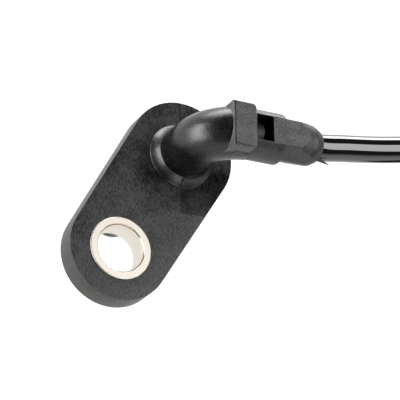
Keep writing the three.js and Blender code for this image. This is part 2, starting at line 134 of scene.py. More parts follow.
# %% Pattern helpers
def ramp(material, source, low, high, dark, light):
    node = add_node(material, "ShaderNodeValToRGB", Fac=source)
    node.color_ramp.elements[0].position = low
    node.color_ramp.elements[1].position = high
    node.color_ramp.elements[0].color = dark
    node.color_ramp.elements[1].color = light
    return node.outputs["Color"]


def noise_of(material, size_mm, detail=3.0, stretch=(1, 1, 1)):
    place = add_node(material, "ShaderNodeTexCoord")
    scaled = add_node(material, "ShaderNodeMapping", {"Scale": stretch}, Vector=place.outputs["Object"])
    noise = add_node(material, "ShaderNodeTexNoise", {"Scale": 1 / (size_mm * MM), "Detail": detail},
                     Vector=scaled.outputs["Vector"])
    return noise.outputs["Fac"]


def grain(material, shader, height, depth_mm):
    bump = add_node(material, "ShaderNodeBump", {"Strength": 1.0, "Distance": depth_mm * MM}, Height=height)
    material.node_tree.links.new(bump.outputs["Normal"], shader.inputs["Normal"])


print("helpers ready")

# %% [markdown]
# The body is nylon 6.6 filled with short glass fibres, injection moulded. The fibres reach the
# surface as a fine speckle, and the moulding cools unevenly, so it is satin with soft clouds some
# millimetres across, never glossy. The mould adds a texture of its own. Ground plates leave short
# lines along Y on the flange. Where a slide of the mould rubbed its plate, the flange is darker and
# less shiny: partly a rubbed finish of its own, partly painted shade from the neck. Spark erosion
# leaves a sandy grain on the collar and on the front of the grip, the sides are worn, and the
# elbow is nearly smooth. So the same nylon is made five times, with another grain each time.

# %% Glass-filled nylon, in five mould textures
def nylon_finish(name, dark, light, rough, size_mm, depth_mm, clouds=0.33, shine=0.5, stretch=(1, 1, 1)):
    material, shader = finish(name, dark, rough, Specular_IOR_Level=shine)
    speckle = noise_of(material, size_mm, 4.0, stretch)
    grain(material, shader, speckle, depth_mm)
    cloud = noise_of(material, 2.6, 2.0)
    mixed = add_node(material, "ShaderNodeMix", {"Factor": clouds}, A=speckle, B=cloud)
    tint = ramp(material, mixed.outputs["Result"], 0.43, 0.57, colour(dark), colour(light))
    material.node_tree.links.new(tint, shader.inputs["Base Color"])
    dull = add_node(material, "ShaderNodeMapRange", {"From Min": 0.3, "From Max": 0.7,
                                                     "To Min": rough - 0.04, "To Max": rough + 0.04},
                    Value=cloud)
    material.node_tree.links.new(dull.outputs["Result"], shader.inputs["Roughness"])
    return material


lined_nylon = nylon_finish("glass_filled_nylon_ground_mould", "#020202", "#363637", 0.33, 0.25, 0.045,
                           clouds=0.33, shine=0.3, stretch=(1, 0.4, 1))
satin_nylon = nylon_finish("glass_filled_nylon_worn_mould", "#1a1a19", "#363633", 0.46, 0.26, 0.02)
smooth_nylon = nylon_finish("glass_filled_nylon_polished_mould", "#030304", "#1a1a1b", 0.28, 0.26, 0.038,
                            clouds=0.15)
sandy_nylon = nylon_finish("glass_filled_nylon_eroded_mould", "#2c2c2b", "#585857", 0.50, 0.26, 0.05)
# The rubbed finish is darker and duller than the ground one: partly its own finish, partly painted shade
# from the neck.
slid_nylon_painted_shade = nylon_finish("glass_filled_nylon_rubbed_mould_painted_shade", "#020202", "#2a2a2b", 0.34, 0.25, 0.045,
                          clouds=0.33, shine=0.17, stretch=(1, 0.4, 1))
LINED, SMOOTH, SATIN, SANDY, SLID_SHADE = range(5)
body_finishes = (lined_nylon, smooth_nylon, satin_nylon, sandy_nylon, slid_nylon_painted_shade)
print([material.name for material in body_finishes])

# %% [markdown]
# The bushing is turned steel with a thin, warm nickel plate. Turning leaves fine rings round the
# bore, so the bump follows the distance from the bolt's axis. Real rings are 0.02 mm apart and
# are drawn 0.12 mm apart. The chamfer at the bore was cut with a finer tool and is glossier, and
# its brown colour is a painted reflection. The bore was left as drawn and is paler, so each is a
# finish of its own.

# %% Nickel-plated steel, turned
nickel, shader = finish("nickel_plated_turned_steel", "#ccc5bc", 0.5, 1.0)
place = add_node(nickel, "ShaderNodeTexCoord")
centred = add_node(nickel, "ShaderNodeMapping", Vector=place.outputs["Object"])
centred.inputs["Location"].default_value = -BOLT * MM
rings = add_node(nickel, "ShaderNodeTexWave", {"wave_type": "RINGS", "rings_direction": "Z",
                                               "Scale": 0.314 / (0.12 * MM), "Distortion": 0.6},
                 Vector=centred.outputs["Vector"])
bump = add_node(nickel, "ShaderNodeBump", {"Strength": 0.12, "Distance": 0.002 * MM},
                Height=rings.outputs["Fac"])
nickel.node_tree.links.new(bump.outputs["Normal"], shader.inputs["Normal"])
# The chamfer's brown colour is a painted reflection.
chamfer_nickel_painted_reflection, shader = finish("nickel_plated_fine_turned_steel_painted_reflection", "#a89686", 0.16, 1.0)
grain(chamfer_nickel_painted_reflection, shader, noise_of(chamfer_nickel_painted_reflection, 1.2), 0.02)
bore_nickel, shader = finish("nickel_plated_drawn_steel", "#e0dbd1", 0.45, 1.0)
grain(bore_nickel, shader, noise_of(bore_nickel, 0.8, stretch=(1, 1, 0.3)), 0.006)
print(nickel.name, chamfer_nickel_painted_reflection.name, bore_nickel.name)

# %% [markdown]
# The cable's jacket is extruded polyurethane. Extrusion leaves it smooth and glossy, with only a
# slight waviness, so its look is made of reflections: the roughness is low, and the bump is long
# and shallow.

# %% Extruded polyurethane jacket
jacket, shader = finish("extruded_polyurethane_jacket", "#060607", 0.06, IOR=1.8)
grain(jacket, shader, noise_of(jacket, 5.0, 1.0), 0.003)
print(jacket.name)

# %% [markdown]
# The small parts: nitrile rubber for the nose seal, silicone for the seals of the plug, PBT for
# the plug, tinned copper, and the dull mouldings and sintered pieces inside the nose.

# %% Materials of the small parts
rubber, shader = finish("moulded_nitrile_rubber", "#0e0e0f", 0.55)
grain(rubber, shader, noise_of(rubber, 0.25), 0.01)
silicone, shader = finish("moulded_silicone_rubber", "#8f4b22", 0.55)
grain(silicone, shader, noise_of(silicone, 0.3), 0.01)
pbt, shader = finish("moulded_pbt_plastic", "#29292b", 0.42)
grain(pbt, shader, noise_of(pbt, 0.3), 0.01)
tie_nylon, shader = finish("moulded_nylon_strap", "#202022", 0.38)
grain(tie_nylon, shader, noise_of(tie_nylon, 0.4), 0.012)
tinned, shader = finish("stamped_tinned_copper", "#c9c4ba", 0.33, 1.0)
grain(tinned, shader, noise_of(tinned, 0.12), 0.004)
resin, shader = finish("moulded_epoxy_resin", "#3a352f", 0.5)
grain(resin, shader, noise_of(resin, 0.2), 0.008)
alloy, shader = finish("ground_magnet_alloy", "#77777a", 0.4, 1.0)
grain(alloy, shader, noise_of(alloy, 0.1), 0.006)
ceramic, shader = finish("fired_ceramic", "#8a7750", 0.55)
grain(ceramic, shader, noise_of(ceramic, 0.15), 0.005)
blue_core, shader = finish("extruded_blue_insulation", "#2c4c7c", 0.35)
grain(blue_core, shader, noise_of(blue_core, 0.6), 0.006)
brown_core, shader = finish("extruded_brown_insulation", "#5a3a22", 0.35)
grain(brown_core, shader, noise_of(brown_core, 0.6), 0.006)
print("small materials ready")

# %% [markdown]
# The cable leaves the grip straight, bends a little upwards, and sinks to the surface that the
# sensor stands on. About 0.7 m of it is real for such a sensor, and the picture shows 4 cm. The
# rest is wound as for storage: two layers of two spiral turns, tied once. The line of the cable
# is a list of points, and the spiral's points come from a loop.

# %% The cable's line
lead = [
    (10.3, 0, AXIS), (15, 0, AXIS), (18, 0.02, AXIS), (20.5, 0.1, AXIS), (24, 0.68, AXIS), (28, 1.28, AXIS),
    (32, 1.95, AXIS), (37, 2.93, AXIS), (41.2, 3.82, AXIS - 0.44), (45.1, 4.72, AXIS - 1.73),
    (48.8, 5.56, AXIS - 3.82), (51.9, 6.25, AXIS - 6.62), (54.3, 6.78, AXIS - 10.0),
    (57.5, 7.43, AXIS - 15.43), (60.6, 8.0, AXIS - 20.87), (63.7, 8.52, AXIS - 26.3),
    (66.2, 8.88, AXIS - 29.68), (69.3, 9.28, AXIS - 32.48), (72.9, 9.64, AXIS - 34.57),
    (76.9, 9.9, AXIS - 35.75), (81.1, 10, AXIS - 36.0), (86.5, 10, AXIS - 36.0), (92, 10, AXIS - 36.0),
]
COIL = (92, -17)
COIL_OUTER = 27
COIL_PITCH = 2 * CABLE
LOW_LEVEL = CABLE
HIGH_LEVEL = 3 * CABLE


def coil_point(turns, radius, level):
    angle = math.pi / 2 - turns * 2 * math.pi
    return (COIL[0] + radius * math.cos(angle), COIL[1] + radius * math.sin(angle), level)


coil_line = []
STEPS = 36
for i in range(1, 2 * STEPS + 1):
    coil_line.append(coil_point(i / STEPS, COIL_OUTER - COIL_PITCH * i / STEPS, HIGH_LEVEL))
for i in range(1, 7):
    share = 0.5 - 0.5 * math.cos(math.pi * i / 6)
    level = HIGH_LEVEL + (LOW_LEVEL - HIGH_LEVEL) * share
    coil_line.append(coil_point(2 + i / STEPS, COIL_OUTER - 2 * COIL_PITCH, level))
for i in range(1, 66):
    share = i / 66
    coil_line.append(coil_point(2 + (6 + i) / STEPS, COIL_OUTER - 2 * COIL_PITCH * (1 - share), LOW_LEVEL))
tail = [
    (92, 10, LOW_LEVEL), (97.5, 10, LOW_LEVEL), (103, 10, LOW_LEVEL), (108, 10, LOW_LEVEL),
    (110.25, 10, LOW_LEVEL), (114.9, 9.4, 2.6), (119.25, 7.6, 3.15), (123, 4.7, 3.9), (125.85, 1, 4.7),
    (127.65, -3.35, 5.2), (128.25, -8, 5.3), (128.25, -10.6, 5.3),
]
line = [Vector(p) for p in lead + coil_line + tail]
print("points on the cable's line:", len(line))

# %% [markdown]
# Blender can carry a round section along a curve by itself. The points are joined by a smooth
# line first.

# %% The cable
def smooth_line(points, steps):
    ends = [2 * points[0] - points[1]] + list(points) + [2 * points[-1] - points[-2]]
    result = [points[0].copy()]
    for a, b, c, d in zip(ends, ends[1:], ends[2:], ends[3:]):
        knots = [0.0]
        for p, q in ((a, b), (b, c), (c, d)):
            knots.append(knots[-1] + (q - p).length ** 0.5)
        k0, k1, k2, k3 = knots
        for i in range(1, steps + 1):
            t = k1 + (k2 - k1) * i / steps
            ab = a.lerp(b, (t - k0) / (k1 - k0))
            bc = b.lerp(c, (t - k1) / (k2 - k1))
            cd = c.lerp(d, (t - k2) / (k3 - k2))
            result.append(ab.lerp(bc, (t - k0) / (k2 - k0)).lerp(bc.lerp(cd, (t - k1) / (k3 - k1)),
                                                                 (t - k1) / (k2 - k1)))
    return result


dense = smooth_line(line, 4)
curve = bpy.data.curves.new("cable", "CURVE")
curve.dimensions = "3D"
curve.bevel_depth = CABLE * MM
curve.bevel_resolution = 7
curve.use_fill_caps = True
spline = curve.splines.new("POLY")
spline.points.add(len(dense) - 1)
for point, place in zip(spline.points, dense):
    point.co = (*(place * MM), 1)
spline.use_smooth = True
curve.materials.append(jacket)
cable = bpy.data.objects.new("cable", curve)
bpy.context.scene.collection.objects.link(cable)
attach(cable, "root")
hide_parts("cable_lead", "cable_coil", "cable_tail")

# %% [markdown]
# A few short functions serve all the moulded pieces. A shape starts as a circle or a box, is
# grown ring by ring, and is turned into an object whose place is in its mesh. The ring helper
# makes a tube: it puts each ring where it belongs and bridges each ring to the next.

# %% From a shape to an object
def to_object(bm, name, materials, smooth=40):
    bmesh.ops.remove_doubles(bm, verts=bm.verts, dist=1e-4)
    bmesh.ops.recalc_face_normals(bm, faces=bm.faces)
    bmesh.ops.scale(bm, vec=(MM, MM, MM), verts=bm.verts)
    mesh = bpy.data.meshes.new(name)
    bm.to_mesh(mesh)
    bm.free()
    for face in mesh.polygons:
        face.use_smooth = True
    for material in materials if isinstance(materials, tuple) else (materials,):
        mesh.materials.append(material)
    piece = bpy.data.objects.new(name, mesh)
    bpy.context.scene.collection.objects.link(piece)
    mesh.set_sharp_from_angle(angle=math.radians(smooth))
    return piece


print("objects can be made")

# %% Spun, boxed and bevelled shapes
X = Vector((1, 0, 0))
Y = Vector((0, 1, 0))
Z = Vector((0, 0, 1))


def spun(profile, centre, segments=96):
    bm = bmesh.new()
    verts = [bm.verts.new((centre[0] + r, centre[1], z)) for r, z in profile]
    for a, b in zip(verts, verts[1:]):
        bm.edges.new((a, b))
    bmesh.ops.spin(bm, geom=bm.verts[:] + bm.edges[:], cent=(centre[0], centre[1], 0), axis=(0, 0, 1),
                   angle=2 * math.pi, steps=segments, use_merge=True)
    bmesh.ops.remove_doubles(bm, verts=bm.verts, dist=1e-4)
    return bm


def bevelled(bm, edges, size, segments=3):
    bmesh.ops.bevel(bm, geom=edges, offset=size, offset_type="OFFSET", affect="EDGES", segments=segments,
                    profile=0.5, material=-1, clamp_overlap=True)


def scored(bm, normal, place, level, depth, within, width=0.14):
    for shift in (-width / 2, 0, width / 2):
        bmesh.ops.bisect_plane(bm, geom=bm.verts[:] + bm.edges[:] + bm.faces[:],
                               plane_co=normal * (place + shift), plane_no=normal)
    for vert in bm.verts:
        on_line = abs(vert.co.dot(normal) - place) < 1e-4 and abs(vert.co.z - level) < 0.03
        if on_line and within(vert.co):
            vert.co.z -= depth


def box(low, high, bevel=0.0, segments=3):
    bm = bmesh.new()
    bmesh.ops.create_cube(bm, size=1)
    size = [b - a for a, b in zip(low, high)]
    bmesh.ops.scale(bm, vec=size, verts=bm.verts)
    bmesh.ops.translate(bm, vec=[(a + b) / 2 for a, b in zip(low, high)], verts=bm.verts)
    if bevel:
        bevelled(bm, bm.edges[:], bevel, segments)
    return bm


print("spun and boxed shapes ready")

# %% Tubes, and one shape merged into another
def ring_of(bm, centre, across, upward, half_across, half_up, corners):
    circle = bmesh.ops.create_circle(bm, radius=1, segments=corners)["verts"]
    frame_of = Matrix((across * half_across, upward * half_up, across.cross(upward))).transposed()
    for vert in circle:
        vert.co = centre + frame_of @ vert.co
    return list({edge for vert in circle for edge in vert.link_edges})


def tube(rings, corners=64):
    bm = bmesh.new()
    loops = [ring_of(bm, *one, corners) for one in rings]
    for a, b in zip(loops, loops[1:]):
        bmesh.ops.bridge_loops(bm, edges=a + b)
    bmesh.ops.holes_fill(bm, edges=loops[0] + loops[-1], sides=corners)
    return bm


def merge_into(bm, other, texture=0, flat_texture=None):
    other.normal_update()
    for face in other.faces:
        looks_up = flat_texture is not None and face.normal.z > 0.995
        face.material_index = flat_texture if looks_up else texture
    mesh = bpy.data.meshes.new("part")
    other.to_mesh(mesh)
    other.free()
    bm.from_mesh(mesh)
    bpy.data.meshes.remove(mesh)


print("solid helpers ready")

# %% [markdown]
# The flange is a teardrop plate: one arc round the bolt, one round the neck, and two straight
# sides that touch both. Its outline and the hole for the bushing are filled as one face with a
# hole in it, which is then pulled up to its thickness. Moulding leaves its rims slightly round,
# so both rims are bevelled. Two halves of the mould met along X = 0: the line between them is a
# fine groove above the neck and a fine ridge below it, and the right half's slide stood 0.05 mm
# lower, down to the line across the plate at Y = -10.6.

# %% Outline and plate
AWAY = -BOLT.normalized() * 0.6
NOSE_ARC = 9.55
BOLT_ARC = 9.0


def outline(offset=0.0, steps=40):
    towards = (AWAY - BOLT).normalized()
    heading = math.atan2(towards.y, towards.x)
    tangent = math.acos((BOLT_ARC - NOSE_ARC) / (AWAY - BOLT).length)
    points = []
    for centre, radius, start, end in (
        (AWAY, NOSE_ARC, -tangent, tangent),
        (BOLT, BOLT_ARC, tangent, 2 * math.pi - tangent),
    ):
        for i in range(steps + 1):
            angle = heading + start + (end - start) * i / steps
            reach = radius - offset
            points.append((centre.x + reach * math.cos(angle), centre.y + reach * math.sin(angle)))
    return points


def plate(points, low, high, hole=None):
    bm = bmesh.new()
    verts = [bm.verts.new((x, y, low)) for x, y in points]
    edges = [bm.edges.new((a, b)) for a, b in zip(verts, verts[1:] + verts[:1])]
    if hole:
        centre, radius = hole
        inner = bmesh.ops.create_circle(bm, radius=radius, segments=96,
                                        matrix=Matrix.Translation((centre.x, centre.y, low)))["verts"]
        edges += list({edge for vert in inner for edge in vert.link_edges})
    bmesh.ops.triangle_fill(bm, use_beauty=True, edges=edges)
    grown = bmesh.ops.extrude_face_region(bm, geom=bm.faces[:])
    raised = [item for item in grown["geom"] if isinstance(item, bmesh.types.BMVert)]
    bmesh.ops.translate(bm, vec=(0, 0, high - low), verts=raised)
    bmesh.ops.recalc_face_normals(bm, faces=bm.faces)
    return bm


def rim_edges(bm, level, shortest_angle=60):
    rims = []
    for edge in bm.edges:
        if all(abs(vert.co.z - level) < 1e-4 for vert in edge.verts):
            if len(edge.link_faces) == 2 and math.degrees(edge.calc_face_angle()) > shortest_angle:
                rims.append(edge)
    return rims


def outer_rim(bm, level):
    return [edge for edge in rim_edges(bm, level)
            if (edge.verts[0].co - BOLT).xy.length > BUSHING_OUTER + 1]


print("points on the outline", len(outline()))

# %% Flange
FRONT_ROUND = 0.16
SEAT_ROUND = 0.2
body = plate(outline(), SEAT, FRONT, hole=(BOLT, BUSHING_OUTER + 0.03))
bevelled(body, outer_rim(body, FRONT), FRONT_ROUND, 5)
bevelled(body, outer_rim(body, SEAT), SEAT_ROUND, 5)
print("plate faces", len(body.faces))

# %% Marks of the mould on the flange
SLIDE_EDGE = -10.6
SLIDE_STEP = 0.05
RUBBED_SHADE_TO = -2.0
for place, normal in ((0.0, X), (0.06, X), (SLIDE_EDGE, Y), (SLIDE_EDGE + 0.06, Y), (RUBBED_SHADE_TO, Y)):
    bmesh.ops.bisect_plane(body, geom=body.verts[:] + body.edges[:] + body.faces[:],
                           plane_co=normal * place, plane_no=normal)
for vert in body.verts:
    if vert.co.z > FRONT - 0.25 and vert.co.x > 0.05 and vert.co.y > SLIDE_EDGE + 0.05:
        vert.co.z -= SLIDE_STEP
scored(body, X, 0.0, FRONT, 0.25, lambda co: co.y > 3, 0.18)
scored(body, X, 0.0, FRONT, -0.07, lambda co: SLIDE_EDGE < co.y < -3, 0.16)
body.normal_update()
for face in body.faces:
    face.material_index = SATIN if abs(face.normal.z) < 0.7 else LINED
    middle = face.calc_center_median()
    # The rubbed area right of the neck takes the darker finish, which is partly painted shade from the neck.
    if face.normal.z > 0.99 and middle.x > 0.05 and SLIDE_EDGE + 0.05 < middle.y < RUBBED_SHADE_TO:
        face.material_index = SLID_SHADE
print("flange faces", len(body.faces))

# %% [markdown]
# The nose is round: a thick stage with a groove for its seal, a cone, and the slender tip that
# holds the chip. A profile spun once round the axis gives it.

# %% Nose
NOSE = 7.0
NOSE_STEP = 12.8
TIP = 4.2
TIP_BORE = 3.05
GROOVE = 5.6
GROOVE_LOW = 20.25
GROOVE_HIGH = 22.55
nose_profile = [
    (TIP_BORE, 0.25), (3.2, 0.0), (3.8, 0.0), (4.05, 0.12), (TIP, 0.4), (TIP, 9.5), (4.28, 9.7), (6.9, 12.5),
    (NOSE, NOSE_STEP), (NOSE, 20.15), (6.9, GROOVE_LOW), (GROOVE, GROOVE_LOW), (GROOVE, GROOVE_HIGH),
    (6.9, GROOVE_HIGH), (NOSE, 22.65), (NOSE, 25.5), (7.25, 25.78), (7.25, 26.2), (TIP_BORE, 26.2),
    (TIP_BORE, 0.25),
]
merge_into(body, spun(nose_profile, (0, 0), 96), SMOOTH)
print("body faces with the nose", len(body.faces))

# %% [markdown]
# The neck stands in a low flared skirt, rises, and turns through a right angle towards the cable.
# It is grown as a row of rings: the skirt's rings widen towards the flange, and the bend's rings
# turn about the bend's centre. The mould's halves don't meet exactly, so the skirt's right half is
# a third of a millimetre wider than its left.

# %% Skirt, neck and elbow
neck_rings = [(Vector((0, 0, FRONT - 0.5)), X, Y, SKIRT_RADIUS, SKIRT_RADIUS),
              (Vector((0, 0, FRONT + 0.04)), X, Y, SKIRT_RADIUS, SKIRT_RADIUS),
              (Vector((0, 0, FRONT + 0.1)), X, Y, SKIRT_RADIUS - 0.04, SKIRT_RADIUS - 0.04)]
for i in range(1, 9):
    radius = SKIRT_RADIUS - 0.04 - (SKIRT_RADIUS - 0.04 - ELBOW_RADIUS) * i / 8
    level = FRONT + 0.1 + 1.05 * i / 8 + 0.35 * (i / 8) ** 3
    neck_rings.append((Vector((0, 0, level)), X, Y, radius, radius))
BEND_START = AXIS - ELBOW_BEND
for i in range(31):
    angle = math.pi / 2 * i / 30
    centre = Vector((ELBOW_BEND * (1 - math.cos(angle)), 0, BEND_START + ELBOW_BEND * math.sin(angle)))
    if centre.x > COLLAR_END - 0.1:
        continue
    across = X * math.cos(angle) - Z * math.sin(angle)
    neck_rings.append((centre, across, Y, ELBOW_RADIUS, ELBOW_RADIUS))
neck = tube(neck_rings, 80)
SKIRT_STEP = 0.33
half_skirt = tube([(centre, across, along, wide + SKIRT_STEP, deep + SKIRT_STEP)
                   for centre, across, along, wide, deep in neck_rings[:11]], 96)
geometry = half_skirt.verts[:] + half_skirt.edges[:] + half_skirt.faces[:]
mould_step = bmesh.ops.bisect_plane(half_skirt, geom=geometry, plane_co=(0, 0, 0), plane_no=(-1, 0, 0),
                                    clear_outer=True)
rim = [item for item in mould_step["geom_cut"] if isinstance(item, bmesh.types.BMEdge)]
bmesh.ops.holes_fill(half_skirt, edges=rim, sides=0)
merge_into(body, half_skirt, SMOOTH)
print("rings in the neck", len(neck_rings))

# %% [markdown]
# The collar is a block with a flat front that stands round the end of the elbow. Its mould was
# put together from plates, and their joints show as a fine line beside two edges of its front.
# The sleeve behind it is oval with a flat front, and a window goes through that flat. The window
# is cut after the pieces are objects, with the Boolean modifier.

# %% Collar and sleeve
collar = box((COLLAR_START, -COLLAR_HALF, AXIS - 0.3), (COLLAR_END, COLLAR_HALF - 0.12, AXIS + COLLAR_FRONT))
upright = [e for e in collar.edges
           if abs(e.verts[0].co.z - e.verts[1].co.z) > 1 and e.verts[0].co.x > COLLAR_END - 0.1]
bevelled(collar, upright, 0.8, 6)
top_rim = [e for e in collar.edges if all(v.co.z > AXIS + COLLAR_FRONT - 0.01 for v in e.verts)]
bevelled(collar, top_rim, 0.24, 5)
scored(collar, X, COLLAR_START + 0.32, AXIS + COLLAR_FRONT, 0.22, lambda co: True, 0.18)
scored(collar, Y, 0.3 - COLLAR_HALF, AXIS + COLLAR_FRONT, 0.22, lambda co: True, 0.18)
bmesh.ops.recalc_face_normals(collar, faces=collar.faces)
merge_into(body, collar, SANDY)

sleeve = tube([
    (Vector((COLLAR_START + 1.5, 0, AXIS)), Y, Z, *SLEEVE_HALF),
    (Vector((SLEEVE_END - 0.25, 0, AXIS)), Y, Z, *SLEEVE_HALF),
    (Vector((SLEEVE_END - 0.06, 0, AXIS)), Y, Z, SLEEVE_HALF[0] - 0.08, SLEEVE_HALF[1] - 0.08),
    (Vector((SLEEVE_END, 0, AXIS)), Y, Z, SLEEVE_HALF[0] - 0.3, SLEEVE_HALF[1] - 0.3),
], 80)
for vert in sleeve.verts:
    if vert.co.z < AXIS:
        vert.co.z = AXIS + (vert.co.z - AXIS) * SLEEVE_LOWER / SLEEVE_HALF[1]
print("sleeve faces", len(sleeve.faces))

# %% [markdown]
# The grip is six-sided and ends in a cone round the cable. It starts as a six-sided prism with
# many rings, and each ring is then drawn in where the cone is smaller than the prism.

# %% Grip
GRIP_SECTION = ((3.83, 0), (2.42, 3.5), (-2.42, 3.5), (-3.83, 0), (-2.42, -3.42), (2.42, -3.42))
GRIP_TAPER = ((11.0, 9.0), (13.5, 5.0), (14.5, 4.53), (15.5, 4.12), (16.6, 3.83), (17.0, 3.72),
              (17.8, 3.56), (18.2, 3.4), (18.5, 3.2), (19.0, 2.9), (19.3, 2.68), (19.5, 2.5))
GRIP_OVAL = 1.12


def taper_at(x):
    for (x0, r0), (x1, r1) in zip(GRIP_TAPER, GRIP_TAPER[1:]):
        if x <= x1:
            return r0 + (r1 - r0) * (x - x0) / (x1 - x0)
    return GRIP_TAPER[-1][1]


grip = bmesh.new()
corners = [grip.verts.new((11.0, y, AXIS + z)) for y, z in GRIP_SECTION]
grip.faces.new(corners)
bmesh.ops.bevel(grip, geom=grip.verts[:], offset=0.35, offset_type="OFFSET", affect="VERTICES", segments=3,
                profile=0.5, material=-1)
bmesh.ops.subdivide_edges(grip, edges=[e for e in grip.edges if e.calc_length() > 1], cuts=14)
grown = bmesh.ops.extrude_face_region(grip, geom=grip.faces[:])
moved = [item for item in grown["geom"] if isinstance(item, bmesh.types.BMVert)]
bmesh.ops.translate(grip, vec=(GRIP_END - 11.0, 0, 0), verts=moved)
along = [e for e in grip.edges if abs(e.verts[0].co.x - e.verts[1].co.x) > 1]
bmesh.ops.subdivide_edges(grip, edges=along, cuts=46)
for vert in grip.verts:
    oval = 1 + (GRIP_OVAL - 1) * min(1, max(0, (GRIP_END - vert.co.x) / 2))
    reach = math.hypot(vert.co.y, (vert.co.z - AXIS) * oval)
    if reach > taper_at(vert.co.x):
        shrink = taper_at(vert.co.x) / reach
        vert.co.y *= shrink
        vert.co.z = AXIS + (vert.co.z - AXIS) * shrink
print("grip faces", len(grip.faces))

# %% [markdown]
# The window is a pocket through the flat front of the sleeve. Booleans need closed shapes, so the
# sleeve and the grip become objects first, are cut, and are joined to the body afterwards. A thin
# blade of flash was left at the mouth when the mould was opened, and it stays.

# %% Cutting helpers
def boolean(piece, tool, operation="DIFFERENCE"):
    modifier = piece.modifiers.new("cut", "BOOLEAN")
    modifier.operation = operation
    modifier.solver = "EXACT"
    modifier.object = tool
    graph = bpy.context.evaluated_depsgraph_get()
    mesh = bpy.data.meshes.new_from_object(piece.evaluated_get(graph))
    piece.modifiers.clear()
    old = piece.data
    piece.data = mesh
    bpy.data.meshes.remove(old)
    bpy.data.objects.remove(tool)


def trimmed(piece, plane_point, plane_normal):
    part = bmesh.new()
    part.from_mesh(piece.data)
    geometry = part.verts[:] + part.edges[:] + part.faces[:]
    result = bmesh.ops.bisect_plane(part, geom=geometry, plane_co=Vector(plane_point) * MM,
                                    plane_no=plane_normal, dist=1e-8, clear_outer=True)
    edges = [item for item in result["geom_cut"] if isinstance(item, bmesh.types.BMEdge)]
    bmesh.ops.holes_fill(part, edges=edges, sides=0)
    part.to_mesh(piece.data)
    part.free()


print("cutting helpers ready")

# %% Window and mouth
WINDOW_HALF = 2.32
WINDOW_END = 9.45
neck_piece = to_object(neck, "neck", smooth_nylon)
above = to_object(box((COLLAR_START + 0.3, -9, AXIS + 1.0), (12, 9, AXIS + 9)), "above_tool", smooth_nylon)
boolean(neck_piece, above)
sleeve_piece = to_object(sleeve, "sleeve", sandy_nylon)
grip_piece = to_object(grip, "grip", sandy_nylon)
boolean(sleeve_piece, grip_piece, "UNION")
trimmed(sleeve_piece, (0, 0, AXIS + FRONT_FLAT), (0, 0, 1))
window = to_object(box((COLLAR_END, -WINDOW_HALF, AXIS - 1.5), (WINDOW_END, WINDOW_HALF, AXIS + 6)),
                   "window_tool", smooth_nylon)
boolean(sleeve_piece, window)
mouth = bmesh.new()
bmesh.ops.create_cone(mouth, cap_ends=True, segments=64, radius1=CABLE + 0.03, radius2=CABLE + 0.03, depth=6,
                      matrix=Matrix.Translation((GRIP_END, 0, AXIS)) @ Matrix.Rotation(math.pi / 2, 4, "Y"))
boolean(sleeve_piece, to_object(mouth, "mouth_tool", smooth_nylon))
print("sleeve polygons", len(sleeve_piece.data.polygons))

# %% The whole body
for piece, texture, flat_texture in ((neck_piece, SMOOTH, None), (sleeve_piece, SATIN, SANDY)):
    part = bmesh.new()
    part.from_mesh(piece.data)
    bmesh.ops.scale(part, vec=(1 / MM, 1 / MM, 1 / MM), verts=part.verts)
    merge_into(body, part, texture, flat_texture)
    bpy.data.objects.remove(piece)
# Faces inside the window take the darker polished finish as painted shade, so the pocket reads black.
for face in body.faces:
    middle = face.calc_center_median()
    in_window_shade = COLLAR_END < middle.x + 0.01 and middle.x < WINDOW_END + 0.01
    if in_window_shade and abs(middle.y) < WINDOW_HALF + 0.01 and AXIS - 2 < middle.z < AXIS + 3.3:
        face.material_index = SMOOTH
flash = bmesh.new()
blade = [flash.verts.new(point) for point in (
    (19.2, -2.15, 43.95), (19.2, -2.6, 43.1), (21.75, -3.1, 43.4), (19.2, -2.0, 43.8), (19.2, -2.45, 43.0),
    (21.75, -3.03, 43.33))]
bmesh.ops.convex_hull(flash, input=blade)
merge_into(body, flash, SMOOTH)
housing = to_object(body, "sensor_housing", body_finishes, smooth=19)
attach(housing, "root")
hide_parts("housing")
print("housing triangles", sum(len(p.vertices) - 2 for p in housing.data.polygons))

# %% [markdown]
# The bushing takes the bolt's load, so that the plastic isn't crushed. It stands a third of a
# millimetre proud of the flange, and both its rims are broken by a small chamfer that catches a
# bright line.

# %% Bushing
TOP = FRONT + 0.36
bushing_profile = [
    (BUSHING_BORE, SEAT + 0.25), (BUSHING_BORE, TOP - 0.3), (BUSHING_BORE + 0.02, TOP - 0.24),
    (BUSHING_BORE + 0.17, TOP - 0.03), (BUSHING_BORE + 0.22, TOP), (BUSHING_OUTER - 0.14, TOP),
    (BUSHING_OUTER - 0.04, TOP - 0.04), (BUSHING_OUTER, TOP - 0.14), (BUSHING_OUTER, SEAT + 0.2),
    (BUSHING_OUTER - 0.2, SEAT), (BUSHING_BORE + 0.25, SEAT), (BUSHING_BORE, SEAT + 0.25),
]
bushing = to_object(spun(bushing_profile, (BOLT.x, BOLT.y), 128), "bolt_bushing",
                    (nickel, chamfer_nickel_painted_reflection, bore_nickel), smooth=20)
for face in bushing.data.polygons:
    middle = face.center / MM
    if (middle.xy - BOLT.xy).length < BUSHING_BORE + 0.2 and TOP - middle.z > 0.02:
        # Chamfer faces take the finish with the painted brown reflection, the bore's faces the paler one.
        face.material_index = 1 if TOP - middle.z < 0.26 else 2
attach(bushing, "root")
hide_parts("mounting_bushing")
print("bushing faces", len(bushing.data.polygons))

# %% [markdown]
# One strap holds the coil. It starts as a box round the turns, its long edges are rounded so that
# it hugs the cable, its two ends are opened, and what is left gets a strap's thickness. Under the
# cable it is pressed flat, and the head that locks it sits on top.

